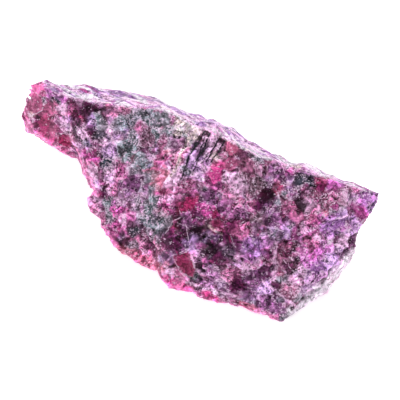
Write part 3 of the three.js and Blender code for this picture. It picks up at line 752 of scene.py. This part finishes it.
lift = np.zeros(len(points))  # mm that the surface stands out
for level, step, tilt, ledge in zip(grainLevels, grainLook["steps"], grainLook["tilts"], grainLook["ledges"]):
    lift += brokenFace(level, step, tilt, ledge)
roofLift = brokenFace(roofStreaks, *roofLook["relief"])
lift = lift * (1 - roofLook["grainsLost"] * roofMask) + roofLift * roofMask
calm, calmReach = grainLook["outlineCalm"]
lift *= 1 - calm * smoothStep(calmReach, 0.0, np.abs(towards))


# What lies over the grains: the painted glow of the lower rim, bands (some of them painted glow), the ground
# of the needles, single crystals and veins

overLook = {
    "rimStrength": 0.75,
    "rimReach": (0.4, 0.05),
    "rimSize": 1.1,
    "rimRagged": 0.12,
    "rimEnd": (24, 17),  # mm right, where the rim fades out
    "rimVariety": 0.5,
    "bandSize": 1.3,
    "bandRagged": 0.5,
    "bandCore": 0.35,  # share of its reach that a band fills
    "bandFlicker": 0.6,
    "flickerSizes": (0.9, 0.5),
    "needleStrength": 0.6,
    "needleEdge": ((0.9, 0.15), (0.5, 0.1)),
    "needleReach": (0.15, -0.05),  # mm past a needle's side where its dark ground ends and is full
    "crystalEdge": ((1.0, 0.25), (0.4, 0.12)),
    "crystalReach": (-0.15, 0.25),
    "crystalVariety": 0.25,
    "crystalFlat": 0.85,  # how far a crystal's face is flat
    "crystalRaised": 0.1,
    "crystalTilt": 0.2,
    "sides": 5,
    "sideBend": 40,  # degrees between the two ends of how a side may be turned
    "sideReach": (0.9, 0.3),  # share of its distance that a side keeps on average, and how far that varies
    "outlined": 0.72,  # strength from which a crystal has a pale outline
    "outlineReach": 0.3,
    "veinReach": (0.9, 0.6),  # mm to each side within which a vein may be drawn
    "veinRaised": 0.08,
    "veinEdge": (0.45, 0.1),
}


def paint(mask, mineral, variety=1.0):
    # lays a mineral over the grains, which keep some of their light and dark
    index = mineralNames.index(mineral)
    for trait, table in tables.items():
        target, share = table[index], mask
        if trait == "color":
            target, share = target * np.exp(variety * tone)[:, None], mask[:, None]
        look[trait] = look[trait] + share * (target - look[trait])


def raggedEdge(edge):
    # mm that an outline wanders in and out, in large and small bends
    (size, reach), (smallSize, smallReach) = overLook[edge]
    salt, smallSalt = salts[edge]
    return reach * cloud(points, size, salt) + smallReach * cloud(points, smallSize, smallSalt)


print("crystals, bands and veins")
# painted glow: the rim near the outline, left of the right end, is painted pale pink as if light shone
# through it
rimEdge = overLook["rimRagged"] * cloud(points, overLook["rimSize"], salts["rim"])
rim = smoothStep(*overLook["rimReach"], towards + rimEdge)
rim *= seen * (1 - roofMask) * smoothStep(*overLook["rimEnd"], flat[:, 0])
paint(overLook["rimStrength"] * rim, "pink", overLook["rimVariety"])

bandWidth = 1 + overLook["bandRagged"] * cloud(points, overLook["bandSize"], salts["bandEdge"])
largeFlicker, smallFlicker = (
    cloud(points, size, salt) for size, salt in zip(overLook["flickerSizes"], salts["bandFlicker"])
)
bandFlicker = overLook["bandFlicker"] * np.minimum(largeFlicker + 0.5 * smallFlicker, 0)
# the bands along the lower edge are painted glow
for mineral, reach, strength, smooth, course in bands:
    distance, side = courseDistance(flat, course)
    distance *= bandWidth
    mask = seen * smoothStep(reach, overLook["bandCore"] * reach, distance)
    paint(strength * (1 + bandFlicker) * mask, mineral)
    lift *= 1 - smooth * mask

needleEdge = raggedEdge("needleEdge")
outer, inner = overLook["needleReach"]
for top, foot, half in needles:
    distance, side = courseDistance(flat, (top, foot))
    distance += needleEdge
    paint(overLook["needleStrength"] * seen * smoothStep(half + outer, half + inner, distance), "ink")

border = np.full(len(points), 1.0)  # mm from the outline of the nearest crystal
crystalEdge = raggedEdge("crystalEdge")


def paintCrystal(inside, strength, mineral, lean):
    # inside is the distance in from the crystal's outline, and its face is flat and leans its own way
    inside = inside + crystalEdge
    mask = smoothStep(*overLook["crystalReach"], inside) * seen
    paint(strength * mask, mineral, overLook["crystalVariety"])
    slope = flat @ lean
    plane = overLook["crystalRaised"] + overLook["crystalTilt"] * (slope - slope[mask > 0.5].mean())
    lift[:] = lift + overLook["crystalFlat"] * mask * (plane - lift)
    outline = np.abs(inside)
    if strength > overLook["outlined"] and mineral not in ("ink", "plum"):
        outlined = (seen > 0.5) & (outline < overLook["outlineReach"])
        border[:] = np.where(outlined, np.minimum(border, outline), border)


def insideSides(number, right, up, halfAcross, halfAlong, turn):
    # distance in from the outline of a crystal with uneven sides
    inside = np.full(len(points), 1e9)
    sides = overLook["sides"]
    bends, sizes = (sideNumbers(number, salt, sides) for salt in (0, 1))
    least, spread = overLook["sideReach"]
    for side, (bend, size) in enumerate(zip(bends, sizes)):
        angle = math.radians(360 / sides * side + overLook["sideBend"] * bend)
        reach = math.hypot(halfAcross * math.cos(angle), halfAlong * math.sin(angle))
        reach *= least + spread * size
        angle += math.radians(turn)
        inside = np.minimum(inside, reach - (flat - (right, up)) @ (math.cos(angle), math.sin(angle)))
    return inside


def insideCorners(corners):
    # the same for an outline given by its corners
    inside = np.full(len(points), 1e9)
    corners = [np.array(corner) for corner in corners]
    for start, end in zip(corners, corners[1:] + corners[:1]):
        way = unit(end - start)
        inside = np.minimum(inside, (flat - start) @ (-way[1], way[0]))
    return inside


for number, (right, up, halfAcross, halfAlong, turn, strength, mineral) in enumerate(crystals):
    inside = insideSides(number, right, up, halfAcross, halfAlong, turn)
    paintCrystal(inside, strength, mineral, sideNumbers(number, 2, 2))
inside = insideCorners(redCrystal["corners"])
paintCrystal(inside, redCrystal["strength"], redCrystal["mineral"], np.array(redCrystal["lean"]))

vein = np.zeros((len(points), 3))  # mm from the middle of a vein with its side, and how near that is
for course in veins:
    distance, side = courseDistance(flat, course)
    near = (distance < overLook["veinReach"][0]) & (seen > 0.5)
    vein[near, 0] = (distance * side)[near]
    vein[near, 1] = smoothStep(*overLook["veinReach"], distance)[near]
    lift += overLook["veinRaised"] * seen * smoothStep(*overLook["veinEdge"], distance)


# The relief, and painted shade in its hollows and low places, with painted light on its ridges and high
# places

reliefLook = {
    "normalSoftening": 2,
    "tableHeight": (1.5, 0.2),  # mm above the table where the relief is lost
    "tableCalm": 0.9,
    "paintedHollowShade": 1.6,
    "hollowSpan": (-0.12, 0.2),
    "paintedLowShadeHighLight": 2.6,
    "lowSpan": (-0.2, 0.25),
    "lowSoftening": (14, 1),  # rounds, for the ground around and for the spot itself
}

print("relief")
normals = unit(soften(normals, edges, reliefLook["normalSoftening"]))
onTable = smoothStep(*reliefLook["tableHeight"], points[:, 2])
moved = points + normals * (lift * (1 - reliefLook["tableCalm"] * onTable))[:, None]
moved[:, 2] = np.maximum(moved[:, 2], 0)
setPoints(mesh, moved)
hollow = ((aroundMean(moved, edges) - moved) * normalsOf(mesh)).sum(1) / rock["meshStep"]
hollow = np.clip(soften(hollow, edges, 1), *reliefLook["hollowSpan"])
# painted shade: hollows of the relief darken the colour, ridges lighten it
look["color"] *= np.exp(-reliefLook["paintedHollowShade"] * hollow)[:, None]
# painted shade and light: spots lower than the ground around are darker, higher ones lighter
ground, spot = (soften(lift, edges, rounds) for rounds in reliefLook["lowSoftening"])
low = np.clip(ground - spot, *reliefLook["lowSpan"])
look["color"] *= np.exp(-reliefLook["paintedLowShadeHighLight"] * low)[:, None]

# the ridge is bruised pale, and partly painted with a highlight along it
ridgeBruiseAndHighlight = roofLook["ridgePaleAndHighlight"] * smoothStep(*roofLook["ridgePaleAndHighlightIn"], roofMask)
look["frostAndGlint"] += ridgeBruiseAndHighlight * smoothStep(*roofLook["ridgePaleAndHighlightOut"], roofMask)

layers = {
    "grainColor": np.concatenate([np.clip(look["color"], 0, 1), np.ones((len(points), 1))], 1),
    "grainRough": look["rough"],
    "frostAndGlint": look["frostAndGlint"],
    "dust": look["dust"],
    "fine": look["fine"],
    "streaky": streaky,
    "border": border,
    "cleave": cleave,
    "vein": vein,
}
for name, values in layers.items():
    addLayer(mesh, name, values)


# The finish: colour of the grains, pale frost in specks and streaks that are partly painted glints, pale
# veins and dust

finish = {
    "gloss": 0.08,
    "frostAndGlintColor": (0.93, 0.80, 0.91),
    "flakeSize": 0.66,  # mm
    "speckSize": 0.3,
    "veilSize": 0.5,
    "flakeShare": 0.35,
    "speckShare": 0.35,
    "splinterShare": 0.15,
    "veilShare": 0.15,
    "streakySpecks": 0.3,  # the shares where the rock is streaky
    "streakySplinters": 0.5,
    "streakyVeil": 0.2,
    "frostAndGlintStart": 0.79,
    "frostAndGlintReach": 0.38,
    "frostAndGlintEdge": 0.10,
    "frostAndGlintCover": 0.9,
    "frostAndGlintTint": 0.7,  # how much the frost and painted glints take a brighter copy of the colour of their grain, at most
    # how much brighter than its grain that copy is: painted glint
    "paintedGlintBright": 1.85,
    "borderWidth": 0.4,
    "borderSize": 0.8,
    "borderBreaks": (1.2, 0.42, 0.56),  # size of the breaks in a line, and where it starts and is whole
    "veinWidth": 0.15,
    "veinBreaks": (0.9, 0.36, 0.56),
    "dustSize": 0.5,
    "dustShift": (0.37, 0.19, 0.53),  # metres, so that the dust and the veil aren't alike
    "dustStrength": 3.3,
    "flakeStrength": 2.2,
    "speckStrength": 2.1,
    "splinterStrength": 0.4,
    "streakyStrength": 2.4,
    "streakyCalm": -0.4,
    "dustTop": 0.45,
}


class NodeBench:
    # short ways to make and join the shader nodes of one material

    def __init__(self, tree):
        self.tree = tree
        tree.nodes.clear()
        self.place = self.make("ShaderNodeTexCoord").outputs["Object"]

    def make(self, kind):
        return self.tree.nodes.new(kind)

    def fill(self, sockets, values):
        for socket, value in zip(sockets, values):
            if isinstance(value, bpy.types.NodeSocket):
                self.tree.links.new(value, socket)
            else:
                socket.default_value = value

    def attribute(self, name, output="Fac"):
        made = self.make("ShaderNodeAttribute")
        made.attribute_name = name
        return made.outputs[output]

    def maths(self, operation, *values):
        made = self.make("ShaderNodeMath")
        made.operation = operation
        self.fill(made.inputs, values)
        return made.outputs[0]

    def ease(self, value, low, high):
        made = self.make("ShaderNodeMapRange")
        made.interpolation_type = "SMOOTHSTEP"
        self.fill(made.inputs[:3], (value, low, high))
        return made.outputs[0]

    def noise(self, where, size, detail, roughness=0.6):
        made = self.make("ShaderNodeTexNoise")
        sockets = [made.inputs[name] for name in ("Vector", "Scale", "Detail", "Roughness")]
        self.fill(sockets, (where, 1 / (size * mm), detail, roughness))
        return made.outputs[0]

    def cells(self, where, scale):
        # three random numbers for each small angular cell
        made = self.make("ShaderNodeTexVoronoi")
        self.fill([made.inputs[name] for name in ("Vector", "Scale")], (where, scale))
        parts = self.make("ShaderNodeSeparateColor")
        self.tree.links.new(made.outputs["Color"], parts.inputs[0])
        return parts.outputs

    def shifted(self, where, shift):
        made = self.make("ShaderNodeVectorMath")
        self.fill(made.inputs[:2], (where, shift))
        return made.outputs[0]

    def scaled(self, color, strength):
        made = self.make("ShaderNodeVectorMath")
        made.operation = "SCALE"
        self.fill((made.inputs[0], made.inputs["Scale"]), (color, strength))
        return made.outputs[0]

    def mixed(self, share, first, second):
        made = self.make("ShaderNodeMix")
        made.data_type = "RGBA"
        self.fill((made.inputs[0], made.inputs[6], made.inputs[7]), (share, first, second))
        return made.outputs[2]


def frostAndGlintPattern(bench, flakes, specks, splinters):
    # where the frost and painted glints settle first: flakes and splinters on clear grains, specks on sandy
    # ones
    sandy = bench.attribute("fine")
    veil = bench.noise(bench.place, finish["veilSize"], 4, 0.7)
    moreSpecks = finish["flakeShare"] + 0.5 * finish["splinterShare"]
    flakeShare = bench.maths("MULTIPLY", bench.maths("SUBTRACT", 1.0, sandy), finish["flakeShare"])
    speckShare = bench.maths("MULTIPLY_ADD", sandy, moreSpecks, finish["speckShare"])
    splinterShare = finish["splinterShare"]
    splinterShare = bench.maths("MULTIPLY_ADD", sandy, -0.5 * splinterShare, splinterShare)
    pattern = bench.maths("MULTIPLY", flakes[0], flakeShare)
    pattern = bench.maths("MULTIPLY_ADD", specks[0], speckShare, pattern)
    pattern = bench.maths("MULTIPLY_ADD", splinters[0], splinterShare, pattern)
    pattern = bench.maths("MULTIPLY_ADD", veil, finish["veilShare"], pattern)
    streaked = bench.maths("MULTIPLY", splinters[0], finish["streakySplinters"])
    streaked = bench.maths("MULTIPLY_ADD", specks[0], finish["streakySpecks"], streaked)
    streaked = bench.maths("MULTIPLY_ADD", veil, finish["streakyVeil"], streaked)
    change = bench.maths("SUBTRACT", streaked, pattern)
    return bench.maths("MULTIPLY_ADD", change, bench.attribute("streaky"), pattern)


def paleLine(bench, distance, width):
    return bench.ease(distance, width, bench.maths("MULTIPLY", width, 0.5))


def lineBreaks(bench, breaks):
    size, low, high = breaks
    return bench.ease(bench.noise(bench.place, size, 2), low, high)


def frostAndGlintMask(bench, pattern):
    # the frost and painted glints themselves, with the pale outlines of crystals and the veins
    frostAndGlint = bench.maths("MULTIPLY", bench.attribute("frostAndGlint"), finish["frostAndGlintReach"])
    low = bench.maths("SUBTRACT", finish["frostAndGlintStart"], frostAndGlint)
    frostAndGlintShare = bench.ease(pattern, low, bench.maths("ADD", low, finish["frostAndGlintEdge"]))
    borderNoise = bench.noise(bench.place, finish["borderSize"], 2)
    borderWidth = bench.maths("MULTIPLY", borderNoise, finish["borderWidth"])
    borderLine = paleLine(bench, bench.attribute("border"), borderWidth)
    borderLine = bench.maths("MULTIPLY", borderLine, lineBreaks(bench, finish["borderBreaks"]))
    frostAndGlintShare = bench.maths("MAXIMUM", frostAndGlintShare, borderLine)
    parts = bench.make("ShaderNodeSeparateXYZ")
    bench.fill(parts.inputs, (bench.attribute("vein", "Vector"),))
    veinWidth = bench.maths("MULTIPLY", lineBreaks(bench, finish["veinBreaks"]), finish["veinWidth"])
    veinLine = paleLine(bench, bench.maths("ABSOLUTE", parts.outputs[0]), veinWidth)
    frostAndGlintShare = bench.maths("MAXIMUM", frostAndGlintShare, bench.maths("MULTIPLY", veinLine, parts.outputs[1]))
    return bench.maths("MULTIPLY", frostAndGlintShare, finish["frostAndGlintCover"])


def dustTone(bench, flakes, specks, splinters):
    # how much lighter or darker the grain is at each spot
    shifted = bench.shifted(bench.place, finish["dustShift"])
    clear = bench.maths("SUBTRACT", 1.0, bench.attribute("fine"))
    streaky = bench.attribute("streaky")
    flakeTone = bench.maths("MULTIPLY", bench.maths("SUBTRACT", flakes[1], 0.5), clear)
    speckTone = bench.maths("SUBTRACT", specks[1], 0.5)
    splinterTone = bench.maths("SUBTRACT", splinters[1], 0.5)
    dust = bench.maths("SUBTRACT", bench.noise(shifted, finish["dustSize"], 4, 0.7), 0.5)
    tone = bench.maths("MULTIPLY", dust, finish["dustStrength"])
    tone = bench.maths("MULTIPLY_ADD", flakeTone, finish["flakeStrength"], tone)
    tone = bench.maths("MULTIPLY_ADD", speckTone, finish["speckStrength"], tone)
    tone = bench.maths("MULTIPLY", tone, bench.maths("MULTIPLY_ADD", streaky, finish["streakyCalm"], 1.0))
    splinterStrength = bench.maths(
        "MULTIPLY_ADD", streaky, finish["streakyStrength"], finish["splinterStrength"])
    tone = bench.maths("MULTIPLY_ADD", splinterTone, splinterStrength, tone)
    tone = bench.maths("MULTIPLY", tone, bench.attribute("dust"))
    return bench.maths("EXPONENT", bench.maths("MINIMUM", tone, finish["dustTop"]))


def rockFinish():
    material = bpy.data.materials.new("rock")
    material.use_nodes = True
    bench = NodeBench(material.node_tree)
    flakes = bench.cells(bench.place, 1 / (finish["flakeSize"] * mm))
    specks = bench.cells(bench.place, 1 / (finish["speckSize"] * mm))
    splinters = bench.cells(bench.attribute("cleave", "Vector"), 1.0)
    frostAndGlintShare = frostAndGlintMask(bench, frostAndGlintPattern(bench, flakes, specks, splinters))
    grainColor = bench.attribute("grainColor", "Color")
    grain = bench.scaled(grainColor, dustTone(bench, flakes, specks, splinters))
    # a brighter copy of the grain's colour, painted in as glints
    bright = bench.scaled(grainColor, finish["paintedGlintBright"])
    tint = bench.maths("MULTIPLY", flakes[2], finish["frostAndGlintTint"])
    frostAndGlint = bench.mixed(tint, (*toLinear(finish["frostAndGlintColor"]), 1), bright)
    shader = bench.make("ShaderNodeBsdfPrincipled")
    color = bench.mixed(frostAndGlintShare, grain, frostAndGlint)
    sockets = [shader.inputs[name] for name in ("Base Color", "Roughness", "Specular IOR Level")]
    bench.fill(sockets, (color, bench.attribute("grainRough"), finish["gloss"]))
    out = bench.make("ShaderNodeOutputMaterial")
    bench.fill(out.inputs, (shader.outputs[0],))
    return material


def finishPiece(piece):
    # rides on the stone's body and stands in for its solid
    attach(piece, "root")
    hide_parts(rock["node"])


mesh.materials.clear()
mesh.materials.append(rockFinish())
mesh.polygons.foreach_set("use_smooth", [False] * len(mesh.polygons))
finishPiece(stone)


# The needles lie half sunk in the broken face

needleLook = {
    "pieces": 3,  # a needle is broken across into so many
    "gap": 0.10,  # share of its length left open at each break
    "rings": 7,
    "sides": 5,
    "sunk": 0.25,  # share of the thickness that lies in the rock
    "wander": 0.22,  # mm that it strays to the sides
    "waves": 9,
    "tip": 0.35,  # thickness at its ends, as a share
    "color": (0.07, 0.085, 0.125),
    "rough": 0.3,
    "gloss": 0.2,
}


def needleLine(spotAt, number, piece, top, foot):
    # the middle line of one piece of a needle, laid on the rock
    sideways = unit(np.array((foot[1] - top[1], top[0] - foot[0])))
    gap, wander = needleLook["gap"], needleLook["wander"]
    low = (piece + gap * sideNumbers(number, 10 + piece, 1)[0]) / needleLook["pieces"]
    high = low + (1 - gap) / needleLook["pieces"]
    shift = wander * sideNumbers(number, 20 + piece, 1)[0]
    spots = []
    for share in np.linspace(low, high, needleLook["rings"]):
        bend = 0.5 * wander * math.sin(needleLook["waves"] * share + number)
        spots.append(spotAt(*(top + share * (foot - top) + (shift + bend) * sideways)))
    spots = np.array(spots)
    spots[1:-1] = (spots[:-2] + spots[1:-1] + spots[2:]) / 3
    return spots


def needleTube(spots, half, turn, first):
    # a tapering tube round that line: its corners, and its faces counted from the first corner
    way = unit(spots[-1] - spots[0])
    width = unit(np.cross(lookBack, way))
    height = np.cross(way, width)
    sides, rings, tip = needleLook["sides"], len(spots), needleLook["tip"]
    corners, faces = [], []
    for ring, spot in enumerate(spots):
        swell = half * (tip + (1 - tip) * math.sin(math.pi * ring / (rings - 1)) ** 0.5)
        for side in range(sides):
            angle = math.tau * side / sides + turn
            around = math.cos(angle) * width + math.sin(angle) * height
            corners.append(spot + (1 - 2 * needleLook["sunk"]) * swell * height + swell * around)
    for ring in range(rings - 1):
        here, there = first + ring * sides, first + (ring + 1) * sides
        for side in range(sides):
            after = (side + 1) % sides
            faces.append((here + side, here + after, there + after, there + side))
    faces.append(tuple(first + side for side in reversed(range(sides))))
    faces.append(tuple(first + (rings - 1) * sides + side for side in range(sides)))
    return corners, faces


def needleFinish():
    material = bpy.data.materials.new("needle")
    material.use_nodes = True
    shader = material.node_tree.nodes["Principled BSDF"]
    shader.inputs["Base Color"].default_value = (*toLinear(needleLook["color"]), 1)
    shader.inputs["Roughness"].default_value = needleLook["rough"]
    shader.inputs["Specular IOR Level"].default_value = needleLook["gloss"]
    return material


def makeNeedles():
    spotAt = spotFinder(moved, mesh)
    corners, faces = [], []
    for number, (top, foot, half) in enumerate(needles):
        for piece in range(needleLook["pieces"]):
            line = needleLine(spotAt, number, piece, np.array(top), np.array(foot))
            tubeCorners, tubeFaces = needleTube(line, half, number, len(corners))
            corners += tubeCorners
            faces += tubeFaces
    needleMesh = bpy.data.meshes.new("needles")
    needleMesh.from_pydata([tuple(corner * mm) for corner in corners], [], faces)
    needleMesh.materials.append(needleFinish())
    made = bpy.data.objects.new("needles", needleMesh)
    bpy.context.scene.collection.objects.link(made)
    finishPiece(made)


print("needles")
makeNeedles()


# Floor, light and camera

studio = {
    "floorSize": 4.0,  # metres
    "floorColor": (0.93, 0.93, 0.93),
    "floorRough": 0.9,
    "floorGlow": 0.6,
    "skyStrength": 0.62,
    "keyPower": 4.2,
    "keySize": 0.5,
    "keyPlace": (-0.12, 0.45, 0.6),
    "fillPower": 1.5,
    "fillSize": 0.6,
    "fillPlace": (-0.35, -0.6, 0.45),
    "cameraDistance": 3.0,
    "cameraNear": 0.01,
    "frameWidth": 0.094,  # metres that the view shows across at the stone
}


def makeFloor():
    bpy.ops.mesh.primitive_plane_add(size=studio["floorSize"])
    floor = bpy.context.object
    floor.name = "floor"
    material = bpy.data.materials.new("floor")
    material.use_nodes = True
    shader = material.node_tree.nodes["Principled BSDF"]
    shader.inputs["Base Color"].default_value = (*studio["floorColor"], 1)
    shader.inputs["Roughness"].default_value = studio["floorRough"]
    shader.inputs["Emission Color"].default_value = (1, 1, 1, 1)
    shader.inputs["Emission Strength"].default_value = studio["floorGlow"]
    floor.data.materials.append(material)


def makeLamp(name, place, size, power):
    lamp = bpy.data.lights.new(name, "AREA")
    lamp.shape = "DISK"
    lamp.size = size
    lamp.energy = power
    holder = bpy.data.objects.new(name, lamp)
    holder.location = place
    holder.rotation_mode = "QUATERNION"
    holder.rotation_quaternion = Vector(place).to_track_quat("Z", "Y")
    bpy.context.scene.collection.objects.link(holder)


def makeSky():
    world = bpy.data.worlds.new("world")
    world.use_nodes = True
    sky = world.node_tree.nodes["Background"]
    sky.inputs["Color"].default_value = (1, 1, 1, 1)
    sky.inputs["Strength"].default_value = studio["skyStrength"]
    bpy.context.scene.world = world


def makeCamera():
    data = bpy.data.cameras.new("camera")
    data.lens = data.sensor_width * studio["cameraDistance"] / studio["frameWidth"]
    data.clip_start = studio["cameraNear"]
    camera = bpy.data.objects.new("camera", data)
    camera.location = Vector(lookBack) * studio["cameraDistance"]
    camera.rotation_mode = "QUATERNION"
    turn = Matrix((lookRight, lookUp, lookBack)).transposed()
    camera.rotation_quaternion = turn.to_quaternion()
    bpy.context.scene.collection.objects.link(camera)
    bpy.context.scene.camera = camera


print("studio")
makeFloor()
for name in ("key", "fill"):
    makeLamp(name, studio[name + "Place"], studio[name + "Size"], studio[name + "Power"])
makeSky()
makeCamera()
bpy.context.scene.view_settings.view_transform = "Standard"
